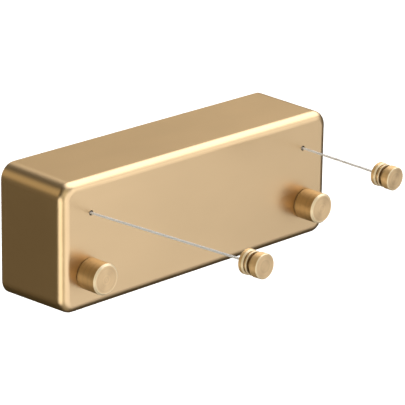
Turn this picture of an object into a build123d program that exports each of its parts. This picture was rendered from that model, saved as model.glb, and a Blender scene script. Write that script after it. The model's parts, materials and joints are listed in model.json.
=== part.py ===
from build123d import *
import math
import os

# Double retractable clothesline for a wall, in millimetres.
# Origin: centre of the back, on the wall. +X right, +Z up, -Y out into the room.
# Both halves are alike, so each piece is drawn for the right side and mirrored for the left.

# ---- casing ----
WIDTH = 175.0
HEIGHT = 64.0
DEPTH = 41.6
CORNER_R = 7.6
FRONT_EDGE_R = 4.2
INNER_EDGE_R = 1.0
DRAFT_X = 0.2  # how far each end leans in between wall and front
DRAFT_Z = 0.87  # how far top and bottom lean in between wall and front
WALL = 2.5
ROOT = 0.5  # how far bosses and pegs run into the front wall
WEB = 1.6
WEB_REACH = 8.0
SLIP = 0.02  # gap left between a part and the hole it is fixed in
RUN = 0.05  # radial gap of everything that turns or slides

# ---- line, its exits and its end pieces ----
LINE_R = 0.6
EXIT_X = 70.05
EXIT_Z = 15.2
EXIT_HOLE_R = 1.25
EYELET_R = 3.0
EYELET_COVER = 0.8  # front wall left in front of the eyelet
END_R = 5.7
END_LENGTH = 10.8
END_CHAMFER = 0.35
COLLAR_LENGTH = 4.8
GROOVE_R = 4.0
HEAD_LENGTH = 4.05
CAP_SPIGOT_R = 3.0
FERRULE_R = 1.5
LEFT_PULLED_OUT = 97.5  # line between casing and end piece, as it rests
RIGHT_PULLED_OUT = 48.7
LEFT_RISE = 1.95  # degrees by which the line rests above square to the front
RIGHT_RISE = -1.1

# ---- lock knobs ----
KNOB_X = 71.8
KNOB_Z = -13.3
KNOB_R = 7.5
KNOB_REACH = 12.1  # from the casing's front to the knob's face
KNOB_GAP = 0.35
STEM_R = 2.5
STEM_NECK_R = 1.5
BUSH_R = 4.0
KNOB_RIM = 0.8  # chamfer round the knob's face
KNOB_FACE = 2.5  # metal between the stem's end and the knob's face
BRAKE_TRAVEL_ROOM = 1.0
SHOE = 2.0
PEG_R = 1.2
PEG_SHIFT = 6.0  # from the knob's axis, away from the reel
PEG_BACK = -35.8

# ---- wall plate and chassis ----
PLATE = 2.0
PLATE_GAP = 0.6
LIP = 1.5
LIP_DEPTH = 8.0
LIP_HALF_LENGTH = 60.0
LIP_TOP = 28.8
WALL_HOLE_R = 2.25
WALL_HOLE_X = 60.0
WALL_HOLE_Z = 15.0
CHASSIS_BACK = -5.0
CHASSIS = 1.5
CHASSIS_HALF_WIDTH = 83.5
CHASSIS_HALF_HEIGHT = 26.0
HOOK_X = 40.0
HOOK_WIDTH = 10.0
HOOK_RISE = 2.4
HOOK_WINDOW = 11.0
LIP_GAP = 10.0  # break in the lips for the middle bosses
BOSS_R = 3.0
BOSS_X = 80.5
BOSS_Z = 22.5
SCREW_R = 1.2
SCREW_LENGTH = 8.0
SCREW_HEAD_R = 2.75
SET_SCREW_R = 1.5
SET_SCREW_Y = -5.0
SET_SCREW_LOW = -31.3
SET_SCREW_LENGTH = 4.4
RIVET_R = 3.0  # tail of the reel axle in the chassis
TENON_R = 1.5  # tail of the guide post in the chassis

# ---- reel ----
REEL_X = 49.0
FLANGE_R = 24.0
FLANGE = 1.5
CORE_R = 16.5
HUB_R = 5.6
HUB_BORE_R = 3.2
REEL_FRONT = -34.5
PARTITION_BACK = -18.0
CUP_BACK = -8.5
CUP_WALL = 1.6
COVER = 1.2
JOURNAL_R = 2.5
ARBOR_R = 5.0
ARBOR_FRONT = -17.5
AXLE_FRONT = -36.8
CLIP_Y = -35.7
COIL_TURNS = 10
COIL_PITCH = 1.29
LAST_TURN_R = EXIT_X - REEL_X  # the turn that is leaving the reel
COIL_R = LAST_TURN_R - 2 * LINE_R - RUN  # centre of the turns under it

# ---- guide pulley that turns the line from the reel out through the front ----
PULLEY_LINE_R = 3.2
PULLEY_RIM_R = 4.1
PULLEY_WIDTH = 2.4
PIN_R = 1.25
PULLEY_Y = REEL_FRONT + FLANGE + PULLEY_RIM_R + 0.2
PULLEY_Z = EXIT_Z - PULLEY_LINE_R
LINE_PLANE_Y = PULLEY_Y + PULLEY_LINE_R
POST_X = 74.0
POST = 4.0

# ---- clock spring ----
SPRING_STRIP = 0.35
SPRING_HALF_TURNS = 19
SPRING_STEP = 0.85  # growth of the radius per half turn
SPRING_START_R = 5.9
SPRING_FRONT = -17.3
SPRING_BACK = -9.9
SPRING_TAIL_IN = 3.2  # where the tails end, in the arbor and in the cup's wall
SPRING_TAIL_OUT = -23.6
SLOT_LOW = -0.6
SLOT_HIGH = 0.25

# ---- derived places ----
FRONT = -DEPTH
FRONT_INSIDE = FRONT + WALL
CHASSIS_FRONT = CHASSIS_BACK - CHASSIS
TO_REEL = Vector(REEL_X - KNOB_X, 0, -KNOB_Z).normalized()
BOSSES = [(x, z) for x in (-BOSS_X, 0, BOSS_X) for z in (-BOSS_Z, BOSS_Z)]
SHOE_FRONT = FRONT_INSIDE + BRAKE_TRAVEL_ROOM
SHOE_BACK = SHOE_FRONT + SHOE

os.makedirs("parts", exist_ok=True)


def turned(*corners):
    """A solid turned about the Y axis, from the corners (radius, y) of its half section."""
    return revolve(Polygon(*corners, align=None), axis=Axis.Y)


def ring(inner, outer, front, back):
    """A plain ring or disc about the Y axis."""
    return turned((inner, front), (outer, front), (outer, back), (inner, back))


def along_x(shape):
    """Turn a solid made about the Y axis so that its +Y points to -X."""
    return Rot(0, 0, 90) * shape


def block(x0, x1, y0, y1, z0, z1):
    """A box between two corners."""
    return Pos((x0 + x1) / 2, (y0 + y1) / 2, (z0 + z1) / 2) * Box(
        x1 - x0, y1 - y0, z1 - z0
    )


def both(shape):
    """A shape and its mirror image on the other side."""
    return shape + mirror(shape, about=Plane.YZ)


def outline(inset, y, radius):
    """The casing's rounded outline at depth y, moved in by inset."""
    lean = -y / DEPTH
    width = WIDTH - 2 * inset - 2 * DRAFT_X * lean
    height = HEIGHT - 2 * inset - 2 * DRAFT_Z * lean
    return Plane.XZ.offset(-y) * RectangleRounded(width, height, radius)


# ---- fixed structure ----


def casing_block(inset, front, radius, edge_radius):
    """A block that narrows from the wall to its front, with its front edge rounded."""
    body = loft([outline(inset, 0, radius), outline(inset, front, radius)], ruled=True)
    front_face = body.faces().sort_by(Axis.Y)[0]
    return fillet(front_face.edges(), edge_radius)


def housing():
    """One-piece casing, open to the wall, with bosses for the chassis screws inside."""
    body = casing_block(0, FRONT, CORNER_R, FRONT_EDGE_R)
    body -= casing_block(WALL, FRONT_INSIDE, CORNER_R - WALL, INNER_EDGE_R)
    inside = casing_block(WALL / 2, FRONT + WALL / 2, CORNER_R - WALL / 2, INNER_EDGE_R)
    root = FRONT_INSIDE - ROOT
    fill = Part()
    for x, z in BOSSES:
        fill += Pos(x, 0, z) * ring(0, BOSS_R, root, CHASSIS_FRONT)
        low, high = sorted((z, z + math.copysign(WEB_REACH, z)))
        fill += block(x - WEB / 2, x + WEB / 2, root, CHASSIS_FRONT, low, high)
    body += fill & inside
    peg = Vector(KNOB_X, 0, KNOB_Z) - TO_REEL * PEG_SHIFT
    body += both(Pos(peg.X, 0, peg.Z) * ring(0, PEG_R, root, PEG_BACK))
    for x, z in BOSSES:
        body -= Pos(x, 0, z) * ring(0, SCREW_R + RUN, CHASSIS_BACK - SCREW_LENGTH - 2.5, 0)
    exit_hole = ring(0, EXIT_HOLE_R, FRONT - 1, 0)
    exit_hole += ring(0, EYELET_R + SLIP, FRONT + EYELET_COVER, 0)
    body -= both(Pos(EXIT_X, 0, EXIT_Z) * exit_hole)
    body -= both(at_knob(ring(0, BUSH_R + SLIP, FRONT - 1, 0)))
    screw_hole = Cylinder(SET_SCREW_R + SLIP, 20)
    body -= both(Pos(HOOK_X, SET_SCREW_Y, -HEIGHT / 2) * screw_hole)
    return body


def wall_plate():
    """Flat plate screwed to the wall, with a lip along top and bottom that holds the unit."""
    width = WIDTH - 2 * WALL - 2 * PLATE_GAP
    height = HEIGHT - 2 * WALL - 2 * PLATE_GAP
    plate = extrude(Plane.XZ * RectangleRounded(width, height, 4.5), PLATE)
    lip = block(-LIP_HALF_LENGTH, LIP_HALF_LENGTH, -LIP_DEPTH, -PLATE / 2, LIP_TOP - LIP, LIP_TOP)
    plate += lip + mirror(lip, about=Plane.XY)
    half = HOOK_WINDOW / 2
    window = block(-half, half, CHASSIS_FRONT - 0.5, CHASSIS_BACK + 0.5, LIP_TOP / 2, HEIGHT / 2)
    plate -= both(Pos(HOOK_X, 0, 0) * window)
    half = LIP_GAP / 2
    plate -= block(-half, half, -LIP_DEPTH, -PLATE - 1, -HEIGHT / 2, HEIGHT / 2)
    plate -= both(Pos(HOOK_X, SET_SCREW_Y, -HEIGHT / 2) * Cylinder(SET_SCREW_R + 0.3, 20))
    for z in (-WALL_HOLE_Z, WALL_HOLE_Z):
        plate -= both(Pos(WALL_HOLE_X, 0, z) * ring(0, WALL_HOLE_R, -10, 10))
    return plate


def chassis():
    """Steel plate that carries both reels; two hooks on its top edge hang in the wall plate."""
    shape = RectangleRounded(2 * CHASSIS_HALF_WIDTH, 2 * CHASSIS_HALF_HEIGHT, 4)
    plate = extrude(Plane.XZ.offset(-CHASSIS_BACK) * shape, CHASSIS)
    half, top = HOOK_WIDTH / 2, CHASSIS_HALF_HEIGHT
    hook = block(-half, half, CHASSIS_FRONT, CHASSIS_BACK, top - 1, top + HOOK_RISE)
    plate += both(Pos(HOOK_X, 0, 0) * hook)
    for x, z in BOSSES:
        plate -= Pos(x, 0, z) * ring(0, SCREW_R + 0.5, -10, 0)
    plate -= both(Pos(REEL_X, 0, 0) * ring(0, RIVET_R + SLIP, -10, 0))
    plate -= both(Pos(POST_X + POST / 2, 0, PULLEY_Z) * ring(0, TENON_R + SLIP, -10, 0))
    window = extrude(Plane.XZ * RectangleRounded(18, 26, 3), 10)
    return plate - window


def chassis_screws():
    """Six pan-head screws that hold the chassis to the casing's bosses."""
    screw = turned(
        (0, CHASSIS_BACK - SCREW_LENGTH),
        (SCREW_R, CHASSIS_BACK - SCREW_LENGTH),
        (SCREW_R, CHASSIS_BACK),
        (SCREW_HEAD_R, CHASSIS_BACK),
        (SCREW_HEAD_R, CHASSIS_BACK + 1.2),
        (SCREW_HEAD_R - 0.6, CHASSIS_BACK + 1.8),
        (0, CHASSIS_BACK + 1.8),
    )
    for turn in (0, 90):
        slot = block(-1.6, 1.6, CHASSIS_BACK + 0.8, 0, -0.35, 0.35)
        screw -= Rot(0, turn, 0) * slot
    return Compound(children=[Pos(x, 0, z) * screw for x, z in BOSSES])


def set_screws():
    """Two socket set screws in the underside that lock the unit to the wall plate."""
    screw = Pos(0, 0, SET_SCREW_LOW + SET_SCREW_LENGTH / 2) * Cylinder(SET_SCREW_R, SET_SCREW_LENGTH)
    screw = chamfer(screw.faces().sort_by(Axis.Z)[-1].edges(), 0.4)
    socket = extrude(Pos(0, 0, SET_SCREW_LOW) * RegularPolygon(0.86, 6), 1.6)
    screw = Pos(0, SET_SCREW_Y, 0) * (screw - socket)
    return Compound(children=[Pos(x, 0, 0) * screw for x in (-HOOK_X, HOOK_X)])


# ---- reel ----


def reel_axle():
    """Stepped axle riveted in the chassis; its thick part holds the inner end of the spring."""
    axle = turned(
        (0, AXLE_FRONT),
        (JOURNAL_R - 0.4, AXLE_FRONT),
        (JOURNAL_R, AXLE_FRONT + 0.4),
        (JOURNAL_R, CLIP_Y - 0.3),
        (2.0, CLIP_Y - 0.3),
        (2.0, CLIP_Y + 0.3),
        (JOURNAL_R, CLIP_Y + 0.3),
        (JOURNAL_R, ARBOR_FRONT),
        (ARBOR_R, ARBOR_FRONT),
        (ARBOR_R, CHASSIS_FRONT),
        (RIVET_R, CHASSIS_FRONT),
        (RIVET_R, CHASSIS_BACK),
        (5.0, CHASSIS_BACK),
        (4.4, CHASSIS_BACK + 1),
        (0, CHASSIS_BACK + 1),
    )
    return axle - block(0, 6, ARBOR_FRONT - 1, SPRING_BACK + 1, SLOT_LOW, SLOT_HIGH)


def spool():
    """Moulded reel: winding core between two flanges, with a cup for the spring behind."""
    body = ring(HUB_BORE_R, FLANGE_R, REEL_FRONT, REEL_FRONT + FLANGE)
    body += ring(CORE_R - 2, CORE_R, REEL_FRONT, PARTITION_BACK)
    body += ring(HUB_BORE_R, HUB_R, REEL_FRONT, PARTITION_BACK)
    body += ring(HUB_BORE_R, FLANGE_R, PARTITION_BACK - FLANGE, PARTITION_BACK)
    body += ring(FLANGE_R - CUP_WALL, FLANGE_R, PARTITION_BACK - 0.5, CUP_BACK)
    hole = Pos(10, 0, 0) * ring(0, 3.4, REEL_FRONT - 1, REEL_FRONT + FLANGE + 1)
    for k in range(6):
        body -= Rot(0, 60 * k, 0) * hole
    body -= block(-30, -20, SPRING_FRONT - 0.3, SPRING_BACK + 0.3, SLOT_LOW, SLOT_HIGH)
    return body


def spring_cover():
    """Snap-in lid that closes the spring cup."""
    cup_r = FLANGE_R - CUP_WALL
    lid = ring(ARBOR_R + 0.3, FLANGE_R, CUP_BACK, CUP_BACK + COVER)
    return lid + ring(cup_r - 1.3, cup_r - 0.1, CUP_BACK - 1.2, CUP_BACK + 0.5)


def clock_spring():
    """Spiral strip spring: half circles about two centres, with a tail at each end."""
    sides = [[], []]
    for k in range(SPRING_HALF_TURNS):
        centre = SPRING_STEP * (k % 2)
        radius = SPRING_START_R + SPRING_STEP * k
        for side, off in zip(sides, (-SPRING_STRIP / 2, SPRING_STRIP / 2)):
            place = (centre, 0)
            side.append(CenterArc(place, radius + off, 180 * (k % 2), 180))
    inner, outer = sides
    ends = [Line(inner[0] @ 0, outer[0] @ 0), Line(inner[-1] @ 1, outer[-1] @ 1)]
    spiral = Plane.XZ.offset(-SPRING_BACK) * make_face(inner + outer + ends)
    strip = extrude(spiral, SPRING_BACK - SPRING_FRONT)
    end_r = SPRING_START_R + SPRING_STEP * (SPRING_HALF_TURNS - 1)
    half = SPRING_STRIP / 2
    tails = ((SPRING_TAIL_IN, SPRING_START_R + half), (SPRING_TAIL_OUT, half - end_r))
    for x0, x1 in tails:
        strip += block(x0, x1, SPRING_FRONT, SPRING_BACK, -SPRING_STRIP, 0)
    return strip


def bush(front, length, flange_front, flange_back):
    """Flanged plain bearing in the spool's hub."""
    sleeve = ring(JOURNAL_R + RUN, HUB_BORE_R - SLIP, front, front + length)
    return sleeve + ring(JOURNAL_R + RUN, 4.8, flange_front, flange_back)


def front_bush():
    return bush(REEL_FRONT, 6.5, REEL_FRONT - 0.45, REEL_FRONT)


def rear_bush():
    return bush(PARTITION_BACK - 6.5, 6.5, PARTITION_BACK, PARTITION_BACK + 0.45)


def thrust_washer():
    return ring(JOURNAL_R + 0.1, 5.2, REEL_FRONT - 0.85, REEL_FRONT - 0.5)


def axle_clip():
    """Open retaining ring in the axle's groove."""
    clip = ring(2.0 + SLIP, 4.4, CLIP_Y - 0.25, CLIP_Y + 0.25)
    return clip - block(0.5, 6, CLIP_Y - 1, CLIP_Y + 1, -1.7, 1.7)


def wound_line():
    """The line stored on the reel, as one packed coil with a ridge for each turn."""
    middle = (REEL_FRONT + FLANGE + PARTITION_BACK - FLANGE) / 2
    half = COIL_PITCH * (COIL_TURNS - 1) / 2 + LINE_R
    coil = ring(CORE_R + RUN, COIL_R, middle - half, middle + half)
    for k in range(COIL_TURNS):
        y = middle + COIL_PITCH * (k - (COIL_TURNS - 1) / 2)
        coil += Pos(0, y, 0) * Rot(90, 0, 0) * Torus(COIL_R, LINE_R)
    return coil


# ---- line path through the casing ----


def feed_line():
    """The last turn on the reel, then up, over the guide pulley and to the front wall."""
    plane = Plane.XZ.offset(-LINE_PLANE_Y)
    last_turn = plane * CenterArc((REEL_X, 0), LAST_TURN_R, -270, 270)
    rise = Line((EXIT_X, LINE_PLANE_Y, 0), (EXIT_X, LINE_PLANE_Y, PULLEY_Z))
    diagonal = PULLEY_LINE_R * math.sqrt(0.5)
    bend = ThreePointArc(
        (EXIT_X, LINE_PLANE_Y, PULLEY_Z),
        (EXIT_X, PULLEY_Y + diagonal, PULLEY_Z + diagonal),
        (EXIT_X, PULLEY_Y, EXIT_Z),
    )
    run = Line((EXIT_X, PULLEY_Y, EXIT_Z), (EXIT_X, FRONT_INSIDE, EXIT_Z))
    path = Wire([last_turn.edge(), rise.edge(), bend.edge(), run.edge()])
    start = Plane(origin=path @ 0, z_dir=path % 0)
    return sweep(start * Circle(LINE_R), path=path)


def guide_pulley():
    """Small grooved wheel on its pin."""
    half = PULLEY_WIDTH / 2
    wheel = ring(PIN_R + RUN, PULLEY_RIM_R, -half, half)
    wheel -= Rot(90, 0, 0) * Torus(PULLEY_LINE_R, LINE_R + RUN)
    mouth = LINE_R + RUN
    wheel -= turned(
        (PULLEY_LINE_R, -mouth),
        (PULLEY_RIM_R + 0.1, -mouth - 0.3),
        (PULLEY_RIM_R + 0.1, mouth + 0.3),
        (PULLEY_LINE_R, mouth),
    )
    return Pos(EXIT_X, PULLEY_Y, PULLEY_Z) * along_x(wheel)


def pulley_pin():
    """Shouldered pin riveted in the guide post."""
    inner_face = EXIT_X - PULLEY_WIDTH / 2 - 0.1
    outer_face = EXIT_X + PULLEY_WIDTH / 2 + 0.1
    pin = turned(
        (0, inner_face - 0.6),
        (2.1, inner_face - 0.6),
        (2.1, inner_face),
        (PIN_R, inner_face),
        (PIN_R, outer_face),
        (2.2, outer_face),
        (2.2, POST_X),
        (PIN_R, POST_X),
        (PIN_R, POST_X + POST),
        (1.7, POST_X + POST),
        (1.4, POST_X + POST + 0.5),
        (0, POST_X + POST + 0.5),
    )
    return Pos(0, PULLEY_Y, PULLEY_Z) * Rot(0, 0, -90) * pin


def guide_post():
    """Post riveted on the chassis beside the reel; it carries the guide pulley's pin."""
    post = block(POST_X, POST_X + POST, -31.5, CHASSIS_FRONT, PULLEY_Z - 3, PULLEY_Z + 3)
    post = fillet(post.edges().filter_by(Axis.X), 1.2)
    tenon = ring(0, TENON_R, CHASSIS_FRONT - 1, CHASSIS_BACK)
    tenon += ring(0, TENON_R + 0.7, CHASSIS_BACK, CHASSIS_BACK + 0.5)
    post += Pos(POST_X + POST / 2, 0, PULLEY_Z) * tenon
    hole = Rot(0, 90, 0) * Cylinder(PIN_R + SLIP, 20)
    return post - Pos(POST_X, PULLEY_Y, PULLEY_Z) * hole


def line_eyelet():
    """Smooth bell-mouthed bush that the line runs through in the front wall."""
    bore = LINE_R + 0.35
    eyelet = turned(
        (bore, FRONT + EYELET_COVER + RUN),
        (EYELET_R, FRONT + EYELET_COVER + RUN),
        (EYELET_R, FRONT_INSIDE),
        (4.2, FRONT_INSIDE),
        (4.2, FRONT_INSIDE + 1.2),
        (2.4, FRONT_INSIDE + 2.2),
        (bore + 0.3, FRONT_INSIDE + 1.2),
        (bore, FRONT_INSIDE),
    )
    return Pos(EXIT_X, 0, EXIT_Z) * eyelet


# ---- line ends, drawn about the Y axis with the rear face at back ----


def pulled_line(back):
    """The line outside the casing, from the eyelet into its end piece."""
    return ring(0, LINE_R, back - 8.2, FRONT_INSIDE - RUN)


def end_collar(back):
    """Rear half of the end piece: flange, thin groove and ridge, with a spigot for the cap."""
    front = back - COLLAR_LENGTH
    return turned(
        (LINE_R + RUN, back),
        (END_R - END_CHAMFER, back),
        (END_R, back - END_CHAMFER),
        (END_R, back - 2.0),
        (END_R - 0.65, back - 2.65),
        (END_R - 1.0, back - 2.75),
        (END_R - 1.0, back - 4.05),
        (END_R - 0.2, back - 4.1),
        (END_R - 0.2, back - 4.4),
        (END_R - 0.5, back - 4.7),
        (GROOVE_R + 0.4, front),
        (CAP_SPIGOT_R, front),
        (CAP_SPIGOT_R, front - 3.1),
        (FERRULE_R + 0.1, front - 3.1),
        (FERRULE_R + 0.1, front - 0.1),
        (LINE_R + RUN, front - 0.1),
    )


def end_cap(back):
    """Front half of the end piece: deep groove and plain head."""
    rear = back - COLLAR_LENGTH - SLIP
    face = back - END_LENGTH
    head = face + HEAD_LENGTH
    return turned(
        (CAP_SPIGOT_R + SLIP, rear),
        (GROOVE_R, rear),
        (GROOVE_R, head),
        (END_R - 0.2, head),
        (END_R, head - 0.2),
        (END_R, face + END_CHAMFER),
        (END_R - END_CHAMFER, face),
        (0, face),
        (0, back - 8.4),
        (CAP_SPIGOT_R + SLIP, back - 8.4),
    )


def end_ferrule(back):
    """Crimped stop on the end of the line, held between collar and cap."""
    return ring(LINE_R + SLIP / 2, FERRULE_R, back - 8.1, back - COLLAR_LENGTH - 0.2)


def on_line(shape, rise):
    """Move a piece to the right-hand exit and turn it about the exit by rise, upwards."""
    return Pos(EXIT_X, FRONT, EXIT_Z) * Rot(-rise, 0, 0) * Pos(0, -FRONT, 0) * shape


# ---- lock ----


def at_knob(shape):
    return Pos(KNOB_X, 0, KNOB_Z) * shape


def lock_knob():
    """Plain turned knob, fixed on its stem."""
    back = FRONT - KNOB_GAP
    face = FRONT - KNOB_REACH
    return at_knob(
        turned(
            (STEM_R + SLIP, back),
            (KNOB_R - 0.3, back),
            (KNOB_R, back - 0.3),
            (KNOB_R, face + KNOB_RIM),
            (KNOB_R - KNOB_RIM, face),
            (0, face),
            (0, face + KNOB_FACE),
            (STEM_R + SLIP, face + KNOB_FACE),
        )
    )


def lock_stem():
    """Threaded stem: turning it drives the brake shoe against the reel."""
    front = FRONT - KNOB_REACH + KNOB_FACE + 0.1
    return at_knob(
        turned(
            (0, front),
            (STEM_R, front),
            (STEM_R, SHOE_FRONT - RUN),
            (STEM_NECK_R, SHOE_FRONT - RUN),
            (STEM_NECK_R, SHOE_BACK + RUN),
            (2.0, SHOE_BACK + RUN),
            (1.7, SHOE_BACK + 0.5),
            (0, SHOE_BACK + 0.5),
        )
    )


def lock_bush():
    """Threaded bush in the front wall; the thread is drawn as a plain bore."""
    return at_knob(ring(STEM_R + RUN, BUSH_R, FRONT + 0.05, FRONT_INSIDE + 0.1))


def knob_washer():
    return at_knob(ring(STEM_R + 0.1, 6.2, FRONT - KNOB_GAP + 0.05, FRONT - 0.05))


def shoe_plane(y):
    """Plane across the brake shoe at y, its x pointing from the knob to the reel."""
    return Plane(origin=(KNOB_X, y, KNOB_Z), x_dir=TO_REEL, z_dir=(0, -1, 0))


def brake_shoe():
    """Flat lever on the stem's neck, kept from turning by a peg in the casing."""
    flat = Pos(-0.75, 0) * SlotCenterToCenter(10.5, 6.4)
    flat += Pos(4.6, 0) * RectangleRounded(4.4, 12.2, 1.2)
    flat -= Circle(STEM_NECK_R + RUN)
    flat -= Pos(-PEG_SHIFT, 0) * Circle(PEG_R + RUN)
    return extrude(shoe_plane(SHOE_BACK) * flat, SHOE)


def brake_pad():
    """Friction lining that bears on the reel's front flange."""
    lining = Pos(4.5, 0) * RectangleRounded(3.8, 11.2, 0.8)
    return extrude(shoe_plane(REEL_FRONT - SLIP) * lining, REEL_FRONT - SLIP - SHOE_BACK)


def on_reel(make):
    """A piece that is drawn about the Y axis, moved to the reel's axis."""
    return Pos(REEL_X, 0, 0) * make()


CENTRE_PIECES = {
    "housing": housing(),
    "wall_plate": wall_plate(),
    "chassis_plate": chassis(),
    "chassis_screws": chassis_screws(),
    "set_screws": set_screws(),
}

REEL_PIECES = {
    "reel_axle": reel_axle,
    "spool": spool,
    "spring_cover": spring_cover,
    "clock_spring": clock_spring,
    "front_bush": front_bush,
    "rear_bush": rear_bush,
    "thrust_washer": thrust_washer,
    "axle_clip": axle_clip,
    "wound_line": wound_line,
}

SIDE_PIECES = {
    "feed_line": feed_line,
    "guide_pulley": guide_pulley,
    "pulley_pin": pulley_pin,
    "guide_post": guide_post,
    "line_eyelet": line_eyelet,
    "lock_knob": lock_knob,
    "lock_stem": lock_stem,
    "lock_bush": lock_bush,
    "knob_washer": knob_washer,
    "brake_shoe": brake_shoe,
    "brake_pad": brake_pad,
}

END_PIECES = {
    "pulled_line": pulled_line,
    "end_collar": end_collar,
    "end_cap": end_cap,
    "end_ferrule": end_ferrule,
}


def save(name, shape):
    export_step(shape, f"parts/{name}.step")


def save_pair(name, shape):
    save(f"right_{name}", shape)
    save(f"left_{name}", mirror(shape, about=Plane.YZ))


for name, shape in CENTRE_PIECES.items():
    save(name, shape)
for name, make in REEL_PIECES.items():
    save_pair(name, on_reel(make))
for name, make in SIDE_PIECES.items():
    save_pair(name, make())
for name, make in END_PIECES.items():
    left = on_line(make(FRONT - LEFT_PULLED_OUT), LEFT_RISE)
    save(f"right_{name}", on_line(make(FRONT - RIGHT_PULLED_OUT), RIGHT_RISE))
    save(f"left_{name}", mirror(left, about=Plane.YZ))
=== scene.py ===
import bmesh
import bpy
import json
import math
from mathutils import Matrix, Vector


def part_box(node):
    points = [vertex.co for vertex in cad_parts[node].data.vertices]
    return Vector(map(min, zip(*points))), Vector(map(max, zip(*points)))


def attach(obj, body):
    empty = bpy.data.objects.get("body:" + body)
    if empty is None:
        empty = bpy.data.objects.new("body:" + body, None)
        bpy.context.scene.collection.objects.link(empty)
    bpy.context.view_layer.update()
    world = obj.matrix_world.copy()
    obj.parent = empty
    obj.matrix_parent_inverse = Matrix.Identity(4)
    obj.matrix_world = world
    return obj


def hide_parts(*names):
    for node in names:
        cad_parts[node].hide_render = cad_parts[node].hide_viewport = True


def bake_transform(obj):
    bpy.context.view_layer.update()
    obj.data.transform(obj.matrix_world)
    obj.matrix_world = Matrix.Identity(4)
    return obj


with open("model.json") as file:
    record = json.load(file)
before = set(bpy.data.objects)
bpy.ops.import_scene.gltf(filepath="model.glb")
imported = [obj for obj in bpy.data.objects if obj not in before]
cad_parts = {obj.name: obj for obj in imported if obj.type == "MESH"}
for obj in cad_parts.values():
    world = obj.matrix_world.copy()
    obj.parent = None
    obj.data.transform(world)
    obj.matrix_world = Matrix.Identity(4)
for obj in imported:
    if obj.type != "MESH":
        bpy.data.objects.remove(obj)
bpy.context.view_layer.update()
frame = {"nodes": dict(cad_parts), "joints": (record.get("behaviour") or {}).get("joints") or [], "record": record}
NODES = frame["nodes"]
SIDES = ("left", "right")
MM = 0.001
OUT = Vector((0, -1, 0))  # out of the wall, into the room

# ---- camera: a long lens, in front of the left end and a little above ----
CAMERA_AZIMUTH = -45.353
CAMERA_ELEVATION = 19.053
CAMERA_ROLL = 0.855
CAMERA_DISTANCE = 1.27836
CAMERA_SHIFT_RIGHT = 0.01564
CAMERA_SHIFT_UP = -0.001485
LENS = 239.17
SENSOR = 36.0
CLIP = (0.05, 100.0)

FLOOR_BELOW = 0.45  # from the origin down to the floor
FLOOR_SIZE = 40.0

# ---- line ----
STRANDS = 6
STRAND_R = 0.2 * MM
WIRE_SIDES = 8
LAY = 7.5 * MM  # length of one twist of the strands
LINE_STEP = 0.4 * MM  # length of one facet

# ---- clock spring ----
SPRING_CUT = 5.36 * MM  # radius where its tail parts from its coil, just outside the axle
SPRING_GAP = 0.06 * MM  # left free on each side of that radius
WELD = 0.001 * MM  # vertices nearer than this are one
SHARP = math.radians(30)

# ---- surface detail ----
NOISE_SPAN = (0.3, 0.7)  # where nearly all values of a noise texture lie
NOISE_CORE = (0.35, 0.65)  # where most of them lie
FINE_RINGS = 2200.0  # turning marks, in noise features per metre
BROAD_RINGS = 900.0
LAND_WIDTH = 0.35 * MM  # painted highlight ring beside a chamfer
LAND_FADE = 0.05 * MM
CHAMFER_FACING = math.sqrt(0.5)  # how far a 45 degree chamfer faces along its axis


# ---------------------------------------------------------------- node helpers


class Nodes:
    """A node tree, with short calls to add and join nodes. Sources are sockets or plain values."""

    def __init__(self, tree):
        self.tree = tree
        self.tree.nodes.clear()

    def add(self, kind, **values):
        node = self.tree.nodes.new(kind)
        for key, value in values.items():
            setattr(node, key, value)
        return node

    def link(self, source, target):
        """Join a socket to an input, or set the input to a plain value."""
        if isinstance(source, bpy.types.NodeSocket):
            self.tree.links.new(source, target)
        else:
            target.default_value = source

    def math(self, operation, a, b=0.0, c=0.0, clamp=False):
        node = self.add("ShaderNodeMath", operation=operation, use_clamp=clamp)
        for socket, source in zip(node.inputs, (a, b, c)):
            self.link(source, socket)
        return node.outputs[0]

    def vector(self, operation, a, b=(0.0, 0.0, 0.0), output="Vector"):
        node = self.add("ShaderNodeVectorMath", operation=operation)
        self.link(a, node.inputs[0])
        self.link(b, node.inputs[1])
        return node.outputs[output]

    def scaled(self, vector, scale):
        node = self.add("ShaderNodeVectorMath", operation="SCALE")
        self.link(vector, node.inputs[0])
        self.link(scale, node.inputs["Scale"])
        return node.outputs["Vector"]

    def spread(self, source, low, high, span=(0.0, 1.0), interpolation="LINEAR"):
        """Map the span to the range from low to high, and keep within that range."""
        node = self.add("ShaderNodeMapRange", interpolation_type=interpolation)
        self.link(source, node.inputs["Value"])
        node.inputs["From Min"].default_value, node.inputs["From Max"].default_value = span
        node.inputs["To Min"].default_value = low
        node.inputs["To Max"].default_value = high
        return node.outputs["Result"]


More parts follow.
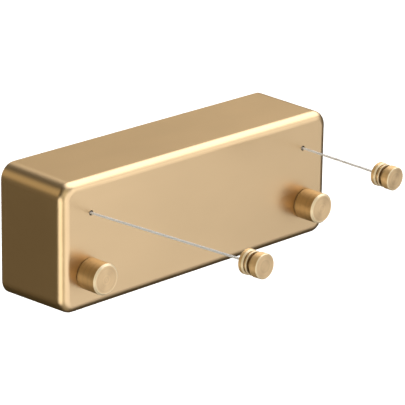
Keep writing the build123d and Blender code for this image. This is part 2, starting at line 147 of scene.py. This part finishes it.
class Shader(Nodes):
    """A material with one Principled surface."""

    def __init__(self, name):
        self.material = bpy.data.materials.new(name)
        self.material.use_nodes = True
        super().__init__(self.material.node_tree)
        output = self.add("ShaderNodeOutputMaterial")
        self.surface = self.add("ShaderNodeBsdfPrincipled")
        self.link(self.surface.outputs[0], output.inputs["Surface"])
        self.place = self.add("ShaderNodeTexCoord").outputs["Object"]

    def set(self, name, source):
        self.link(source, self.surface.inputs[name])

    def noise(self, scale, detail=2.0):
        """Noise over the place in the object: its features shrink where a scale grows."""
        mapping = self.add("ShaderNodeMapping")
        self.link(self.place, mapping.inputs["Vector"])
        mapping.inputs["Scale"].default_value = scale
        node = self.add("ShaderNodeTexNoise")
        self.link(mapping.outputs[0], node.inputs["Vector"])
        node.inputs["Scale"].default_value = 1.0
        node.inputs["Detail"].default_value = detail
        return node.outputs["Fac"]

    def noise_1d(self, value, detail=2.0):
        node = self.add("ShaderNodeTexNoise", noise_dimensions="1D")
        self.link(value, node.inputs["W"])
        node.inputs["Scale"].default_value = 1.0
        node.inputs["Detail"].default_value = detail
        return node.outputs["Fac"]

    def blend(self, factor, a, b, kind="MIX"):
        """Mix two colours."""
        node = self.add("ShaderNodeMix", data_type="RGBA", blend_type=kind)
        self.link(factor, node.inputs[0])
        self.link(a, node.inputs[6])
        self.link(b, node.inputs[7])
        return node.outputs[2]

    def between(self, factor, colour, darker, lighter):
        """A colour that wanders between its darker and its lighter tint."""
        return self.blend(factor, tint(colour, darker), tint(colour, lighter))

    def edge(self, radius, low=0.02, high=0.35):
        """0 on open surfaces, 1 along sharp edges."""
        bevel = self.add("ShaderNodeBevel", samples=4)
        bevel.inputs["Radius"].default_value = radius
        normal = self.add("ShaderNodeNewGeometry").outputs["Normal"]
        same = self.vector("DOT_PRODUCT", bevel.outputs[0], normal, output="Value")
        turn = self.math("SUBTRACT", 1.0, same, clamp=True)
        return self.spread(turn, 0.0, 1.0, (low, high))

    def painted_crevice_shade(self, distance, dark, colour):
        """Painted shade: a colour that turns to dark in grooves and close to neighbours, where shade falls."""
        shade = self.add("ShaderNodeAmbientOcclusion", samples=6)
        shade.inputs["Distance"].default_value = distance
        return self.blend(self.spread(shade.outputs["AO"], 0.0, 1.0, (0.15, 0.85)), dark, colour)

    def bump(self, height, depth):
        node = self.add("ShaderNodeBump")
        self.link(height, node.inputs["Height"])
        node.inputs["Distance"].default_value = depth
        self.set("Normal", node.outputs[0])


def grey(value):
    return (value, value, value, 1.0)


def tint(colour, factor):
    """A colour made lighter or darker."""
    return tuple(min(1.0, c * factor) for c in colour[:3]) + (1.0,)


def new_object(mesh, material):
    """An object of this mesh, with its name and in this material."""
    mesh.materials.append(material)
    made = bpy.data.objects.new(mesh.name, mesh)
    bpy.context.scene.collection.objects.link(made)
    return made


# ---------------------------------------------------------------- materials

GOLD = (0.785, 0.585, 0.35, 1.0)
# turned sides painted darker (knobs) or lighter (end pieces) than their faces: painted shade and painted light
KNOB_SIDE_SHADED = (0.61, 0.40, 0.18, 1.0)
END_SIDE_LIT = (0.88, 0.61, 0.31, 1.0)
# painted shade: the dark brown that grooves and gaps take on
GROOVE_SHADE_BROWN = (0.14, 0.07, 0.012, 1.0)
# painted highlight: the bright colour of the chamfers and of the ring inside them
PAINTED_RIM_HIGHLIGHT = (0.99, 0.83, 0.57, 1.0)
WORN_GOLD = (0.86, 0.70, 0.50, 1.0)
LINE_DARK = (0.90, 0.90, 0.93, 1.0)
LINE_LIGHT = (0.98, 0.98, 1.0, 1.0)


def gold_casing():
    """Champagne-gold anodised casting: bead blasted to a satin, with a faint grain lengthwise,
    and painted shade near the knobs and other neighbours.
    """
    s = Shader("gold_casing")
    brushed = s.noise((50, 3500, 3500), detail=3.0)
    blasted = s.noise((6500, 6500, 6500), detail=1.0)
    cloud = s.noise((16, 30, 30))
    wear = s.edge(0.35 * MM, 0.05, 0.5)
    colour = s.between(s.spread(cloud, 0.0, 1.0, NOISE_CORE), GOLD, 0.975, 1.025)
    colour = s.blend(s.math("MULTIPLY", wear, 0.35), colour, WORN_GOLD)
    # painted shade: darker gold near the knobs and other neighbours
    s.set("Base Color", s.painted_crevice_shade(7 * MM, tint(GOLD, 0.9), colour))
    s.set("Metallic", 1.0)
    rough = s.spread(brushed, 0.31, 0.36, NOISE_SPAN)
    s.set("Roughness", s.math("SUBTRACT", rough, s.math("MULTIPLY", wear, 0.05)))
    height = s.math("ADD", s.math("MULTIPLY", brushed, 0.4), s.math("MULTIPLY", blasted, 0.6))
    s.bump(height, 0.0022 * MM)
    return s.material


def turned_metal(node, axis, face, side, rim, land, side_metallic=1.0, marks=1.0):
    """Turned metal with painted highlights on its chamfers and painted shade in its grooves:
    fine rings about the axis stretch its reflections.

    face and side are its colours across the axis and along it, the side painted darker or
    lighter than the face for how light falls on it; rim the width of the chamfer round the face,
    land how bright a painted highlight ring inside the chamfer is, marks how deep the rings are.
    """
    s = Shader(f"{node}_turned")
    low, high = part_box(node)
    offset = s.vector("SUBTRACT", s.place, (low + high) / 2)
    along = s.vector("DOT_PRODUCT", offset, axis, output="Value")
    around = s.vector("CROSS_PRODUCT", axis, offset)
    radius = s.vector("LENGTH", around, output="Value")
    turn = s.math("SUBTRACT", radius, along)
    rings = s.noise_1d(s.math("MULTIPLY", turn, FINE_RINGS), 3.0)
    broad = s.noise_1d(s.math("MULTIPLY", turn, BROAD_RINGS))
    normal = s.add("ShaderNodeNewGeometry").outputs["True Normal"]
    square_on = s.math("ABSOLUTE", s.vector("DOT_PRODUCT", normal, axis, output="Value"))
    slope = s.math("ABSOLUTE", s.math("SUBTRACT", square_on, CHAMFER_FACING))
    chamfer = s.spread(slope, 1.0, 0.0, (0.05, 0.15))
    inner = (high.x - low.x) / 2 - rim - LAND_WIDTH
    land_highlight = s.spread(radius, 0.0, land, (inner - LAND_FADE, inner + LAND_FADE))
    # painted highlight on the chamfers and on a thin ring of the face inside its chamfer
    rim_highlight = s.math("MAXIMUM", chamfer, s.math("MULTIPLY", land_highlight, square_on))
    # painted shade and light: the sides take a darker or lighter colour than the faces
    tone = s.blend(square_on, side, face)
    tone = s.blend(1.0, tone, s.spread(broad, 0.95, 1.05, NOISE_CORE), "MULTIPLY")
    # painted shade: dark brown in grooves and beside neighbouring parts
    tone = s.painted_crevice_shade(3 * MM, GROOVE_SHADE_BROWN, tone)
    s.set("Base Color", s.blend(rim_highlight, tone, PAINTED_RIM_HIGHLIGHT))
    metallic = s.spread(square_on, side_metallic, 1.0)
    # half metallic where the painted highlight lies, so it stays bright from every side
    s.set("Metallic", s.math("MULTIPLY", metallic, s.spread(rim_highlight, 1.0, 0.5)))
    satin = s.spread(square_on, 0.6, 0.42)
    s.set("Roughness", s.math("ADD", satin, s.spread(rings, -0.05, 0.05, NOISE_SPAN)))
    s.set("Anisotropic", 0.7)
    s.set("Anisotropic Rotation", 0.25)
    tangent = s.add(
        "ShaderNodeVectorTransform", vector_type="VECTOR", convert_from="OBJECT", convert_to="WORLD"
    )
    s.link(around, tangent.inputs[0])
    s.set("Tangent", s.vector("NORMALIZE", tangent.outputs[0]))
    s.bump(rings, 0.005 * MM * marks)
    return s.material


def zinc_steel(colour):
    """Zinc-plated sheet: faint spangle and rolling lines."""
    s = Shader("zinc_steel")
    mapping = s.add("ShaderNodeMapping")
    s.link(s.place, mapping.inputs["Vector"])
    mapping.inputs["Scale"].default_value = (260, 260, 260)
    spangle = s.add("ShaderNodeTexVoronoi")
    s.link(mapping.outputs[0], spangle.inputs["Vector"])
    rolled = s.noise((40, 2500, 2500))
    mixed = s.math("ADD", s.math("MULTIPLY", spangle.outputs["Distance"], 0.5), rolled)
    s.set("Base Color", s.between(s.spread(mixed, 0.0, 1.0, (0.4, 1.0)), colour, 0.85, 1.1))
    s.set("Metallic", 0.75)
    s.set("Roughness", s.spread(mixed, 0.32, 0.48, (0.4, 1.0)))
    s.bump(rolled, 0.004 * MM)
    return s.material


def plain_metal(name, colour, roughness=0.25, scale=700):
    """Small machined or hardened piece: fine uneven polish."""
    s = Shader(name)
    polish = s.noise((scale, scale, scale), detail=3.0)
    wear = s.edge(0.15 * MM)
    tone = s.between(s.spread(polish, 0.0, 1.0, NOISE_CORE), colour, 0.88, 1.08)
    s.set("Base Color", s.blend(s.math("MULTIPLY", wear, 0.5), tone, tint(colour, 1.3)))
    s.set("Metallic", 1.0)
    s.set("Roughness", s.spread(polish, roughness - 0.05, roughness + 0.1, NOISE_SPAN))
    s.bump(polish, 0.003 * MM)
    return s.material


def moulded(name, colour, roughness=0.45):
    """Moulded nylon or rubber: fine spark-eroded texture and a soft sheen."""
    s = Shader(name)
    grain = s.noise((5200, 5200, 5200))
    s.set("Base Color", s.between(s.noise((120, 120, 120)), colour, 0.92, 1.05))
    s.set("Roughness", s.spread(grain, roughness - 0.06, roughness + 0.1, NOISE_SPAN))
    s.set("Specular IOR Level", 0.45)
    s.bump(grain, 0.01 * MM)
    return s.material


def line_steel():
    """Wires under a thin clear-grey coating: pale, with fine marks along the strands."""
    s = Shader("line_steel")
    drawn = s.noise((9000, 500, 9000))
    s.set("Base Color", s.blend(s.spread(drawn, 0.0, 1.0, NOISE_SPAN), LINE_DARK, LINE_LIGHT))
    s.set("Metallic", 0.1)
    s.set("Roughness", s.spread(drawn, 0.24, 0.38, NOISE_SPAN))
    s.bump(drawn, 0.004 * MM)
    return s.material


def pull_axis(side):
    """The way the line of this side is pulled out."""
    joint = next(j for j in frame["joints"] if j["name"] == f"{side}_line_pull")
    return Vector(joint["axis"]).normalized()


def paint():
    """Give every CAD node its material, by the record's material slot."""
    by_slot = {
        "gold_casing": gold_casing(),
        "line_steel": line_steel(),
        "zinc_steel": zinc_steel((0.58, 0.60, 0.62, 1.0)),
        "bright_steel": plain_metal("bright_steel", (0.66, 0.66, 0.66, 1.0)),
        "dark_steel": plain_metal("dark_steel", (0.10, 0.10, 0.11, 1.0), 0.35),
        "blue_spring_steel": plain_metal("blue_spring_steel", (0.20, 0.25, 0.34, 1.0)),
        "white_nylon": moulded("white_nylon", (0.80, 0.79, 0.74, 1.0)),
        "grey_nylon": moulded("grey_nylon", (0.28, 0.29, 0.31, 1.0)),
        "black_nylon": moulded("black_nylon", (0.055, 0.036, 0.02, 1.0)),
        "bronze": plain_metal("bronze", (0.50, 0.31, 0.15, 1.0), 0.4, 1500),
        "brass": plain_metal("brass", (0.72, 0.54, 0.25, 1.0)),
        "brake_rubber": moulded("brake_rubber", (0.04, 0.035, 0.03, 1.0), 0.7),
    }
    for part in frame["record"]["subparts"]:
        name, slot = part["node"], part["material_slot"]
        if slot != "gold_turned":
            material = by_slot[slot]
        # turned parts: sides painted darker on knobs and lighter on end pieces than their faces
        elif name.endswith("knob"):
            face = tint(GOLD, 1.04)
            material = turned_metal(name, OUT, face, KNOB_SIDE_SHADED, rim=0.8 * MM, land=0.75)
        else:
            axis, face = pull_axis(name.split("_")[0]), tint(GOLD, 0.94)
            material = turned_metal(
                name, axis, face, END_SIDE_LIT, rim=0.35 * MM, land=0.35, side_metallic=0.65, marks=1.2
            )
        mesh = NODES[name].data
        mesh.materials.clear()
        mesh.materials.append(material)
    return by_slot


# ---------------------------------------------------------------- the line


def tube(points, vertices, faces):
    """Add a closed wire along points to the lists; its rings lie across Z."""
    base = len(vertices)
    for x, y, z in points:
        for k in range(WIRE_SIDES):
            a = 2 * math.pi * k / WIRE_SIDES
            vertices.append((x + STRAND_R * math.cos(a), y + STRAND_R * math.sin(a), z))
    for i in range(len(points) - 1):
        for k in range(WIRE_SIDES):
            a = base + i * WIRE_SIDES + k
            b = base + i * WIRE_SIDES + (k + 1) % WIRE_SIDES
            faces.append((a, b, b + WIRE_SIDES, a + WIRE_SIDES))
    last = base + (len(points) - 1) * WIRE_SIDES
    faces.append(tuple(range(base + WIRE_SIDES - 1, base - 1, -1)))
    faces.append(tuple(range(last, last + WIRE_SIDES)))


def stranded_line(side, material):
    """The pulled-out line as twisted wires round a core."""
    eyelet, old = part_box(f"{side}_line_eyelet"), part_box(f"{side}_pulled_line")
    along = pull_axis(side)
    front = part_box("housing")[0].y
    exit_point = (eyelet[0] + eyelet[1]) / 2
    exit_point.y = front
    inside = (front - old[1].y) / -along.y  # how far behind the exit the line begins, below 0
    tip = (old[0].y - front) / along.y
    radius = (old[1].x - old[0].x) / 2 - STRAND_R
    steps = math.ceil((tip - inside) / LINE_STEP)
    reach = [inside + (tip - inside) * i / steps for i in range(steps + 1)]
    vertices, faces = [], []
    tube([(0, 0, d) for d in reach], vertices, faces)
    for k in range(STRANDS):
        path = []
        for d in reach:
            a = 2 * math.pi * (k / STRANDS + d / LAY)
            path.append((radius * math.cos(a), radius * math.sin(a), d))
        tube(path, vertices, faces)
    place = Matrix.Translation(exit_point) @ along.to_track_quat("Z", "X").to_matrix().to_4x4()
    mesh = bpy.data.meshes.new(f"{side}_stranded_line")
    mesh.from_pydata([place @ Vector(v) for v in vertices], [], faces)
    mesh.validate()
    for face in mesh.polygons:
        face.use_smooth = len(face.vertices) == 4
    line = new_object(mesh, material)
    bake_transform(line)
    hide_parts(f"{side}_pulled_line")


# ---------------------------------------------------------------- the clock springs


def spring_piece(side, name, body, keep_tail, material):
    """One of the two pieces of a clock spring, cut from the CAD node's mesh and closed again."""
    low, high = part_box(f"{side}_reel_axle")
    centre = (low + high) / 2

    def radius(vertex):
        return math.hypot(vertex.co.x - centre.x, vertex.co.z - centre.z)

    cut = SPRING_CUT - SPRING_GAP if keep_tail else SPRING_CUT + SPRING_GAP
    bm = bmesh.new()
    bm.from_mesh(NODES[f"{side}_clock_spring"].data)
    bmesh.ops.remove_doubles(bm, verts=bm.verts, dist=WELD)
    tip = [v for v in bm.verts if radius(v) < cut]
    way = sum((v.co for v in tip), Vector()) / len(tip) - centre
    way = Vector((way.x, 0, way.z)).normalized()
    faces = list(dict.fromkeys(f for v in tip for f in v.link_faces))
    edges = list(dict.fromkeys(e for f in faces for e in f.edges))
    geometry = tip + edges + faces
    bmesh.ops.bisect_plane(bm, geom=geometry, plane_co=centre + way * cut, plane_no=way)
    if keep_tail:
        spare = [v for v in bm.verts if radius(v) > cut + SPRING_GAP]
    else:
        spare = [v for v in bm.verts if radius(v) < cut - SPRING_GAP / 4]
    bmesh.ops.delete(bm, geom=spare, context="VERTS")
    bmesh.ops.holes_fill(bm, edges=[e for e in bm.edges if e.is_boundary], sides=0)
    bmesh.ops.recalc_face_normals(bm, faces=bm.faces)
    mesh = bpy.data.meshes.new(name)
    bm.to_mesh(mesh)
    bm.free()
    mesh.shade_smooth()
    mesh.set_sharp_from_angle(angle=SHARP)
    piece = new_object(mesh, material)
    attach(piece, body)
    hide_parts(f"{side}_clock_spring")


def split_spring(side, material):
    """The tail in the axle stands still while the coil turns with the reel, as in the real one."""
    spring_piece(side, f"{side}_spring_tail", "base", True, material)
    spring_piece(side, f"{side}_spring_coil", f"{side}_reel", False, material)


# ---------------------------------------------------------------- studio


# Each panel of soft light: azimuth (0 in front, 90 to the right), elevation, half angle that is
# fully lit, half angle where the light ends, colour.
AMBIENT = (0.05, 0.039, 0.02)
PANELS = (
    (88, 57, 24, 49, (2.14, 2.15, 2.22)),  # overhead
    (10.5, -12, 24, 53, (1.225, 1.21, 1.215)),  # in front
    (48, 17, 8, 29, (0.88, 0.87, 0.85)),  # in front, high
    (-42, 5, 22, 52, (0.34, 0.33, 0.26)),  # behind the camera
    (-34, 42, 18, 42, (0.4, 0.37, 0.29)),  # behind the camera, high
    (-44, -34, 10, 34, (0.3, 0.28, 0.23)),  # behind the camera, low
    (-20, -72, 12, 34, (0.3, 0.28, 0.22)),  # below
    (-83, -18, 13, 37, (1.6, 1.56, 1.44)),  # left
    (-134, -12, 16, 50, (0.07, 0.053, 0.028)),  # left, behind
    (-135, 25, 6, 29, (0.54, 0.43, 0.255)),  # left, behind, high
    (134, 25, 14, 42, (0.27, 0.213, 0.122)),  # far right, high
    (180, 5, 10, 40, (0.7, 0.67, 0.6)),  # behind
)


def towards(azimuth, elevation):
    """Unit vector from the object that way, in degrees."""
    a, e = math.radians(azimuth), math.radians(elevation)
    return Vector((math.sin(a) * math.cos(e), -math.cos(a) * math.cos(e), math.sin(e)))


def studio_sky():
    """White to the camera, and to the object the soft panels over a dim ambient."""
    world = bpy.data.worlds.new("studio")
    bpy.context.scene.world = world
    world.use_nodes = True
    n = Nodes(world.node_tree)
    direction = n.add("ShaderNodeTexCoord").outputs["Generated"]
    total = AMBIENT
    for azimuth, elevation, inner, outer, colour in PANELS:
        middle = towards(azimuth, elevation)
        angle = n.math("ARCCOSINE", n.vector("DOT_PRODUCT", direction, middle, output="Value"))
        span = (math.radians(outer), math.radians(inner))
        fade = n.spread(angle, 0.0, 1.0, span, "SMOOTHSTEP")
        total = n.vector("ADD", n.scaled(colour, fade), total)
    light = n.add("ShaderNodeBackground")
    n.link(total, light.inputs["Color"])
    white = n.add("ShaderNodeBackground")
    n.link(grey(1.0), white.inputs["Color"])
    mix = n.add("ShaderNodeMixShader")
    seen = n.add("ShaderNodeLightPath").outputs["Is Camera Ray"]
    out = n.add("ShaderNodeOutputWorld")
    for source, target in zip((seen, light.outputs[0], white.outputs[0]), mix.inputs):
        n.link(source, target)
    n.link(mix.outputs[0], out.inputs["Surface"])


def floor():
    """Plain pale floor far below. It casts no light: the metal sees only the tent of panels."""
    half = FLOOR_SIZE / 2
    corners = [(-half, -half), (half, -half), (half, half), (-half, half)]
    mesh = bpy.data.meshes.new("floor")
    mesh.from_pydata([(x, y, -FLOOR_BELOW) for x, y in corners], [], [(0, 1, 2, 3)])
    s = Shader("floor")
    s.set("Base Color", grey(0.9))
    s.set("Roughness", 0.9)
    s.set("Emission Color", grey(1.0))
    s.set("Emission Strength", 0.6)
    plane = new_object(mesh, s.material)
    plane.visible_glossy = False
    plane.visible_diffuse = False


def camera():
    """Camera at the place that was fitted to the photo, by the casing's centre."""
    back = towards(CAMERA_AZIMUTH, CAMERA_ELEVATION)
    right = towards(CAMERA_AZIMUTH + 90, 0)
    turn = Matrix((right, back.cross(right), back)).transposed()
    turn = turn @ Matrix.Rotation(math.radians(CAMERA_ROLL), 3, "Z")
    low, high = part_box("housing")
    centre = (low + high) / 2
    offset = turn @ Vector((CAMERA_SHIFT_RIGHT, CAMERA_SHIFT_UP, CAMERA_DISTANCE))
    data = bpy.data.cameras.new("camera")
    data.lens, data.sensor_width = LENS, SENSOR
    data.clip_start, data.clip_end = CLIP
    cam = bpy.data.objects.new("camera", data)
    cam.matrix_world = Matrix.Translation(centre + offset) @ turn.to_4x4()
    bpy.context.scene.collection.objects.link(cam)
    bpy.context.scene.camera = cam


materials = paint()
for side in SIDES:
    stranded_line(side, materials["line_steel"])
    split_spring(side, materials["blue_spring_steel"])
studio_sky()
floor()
camera()
bpy.context.scene.view_settings.view_transform = "Standard"
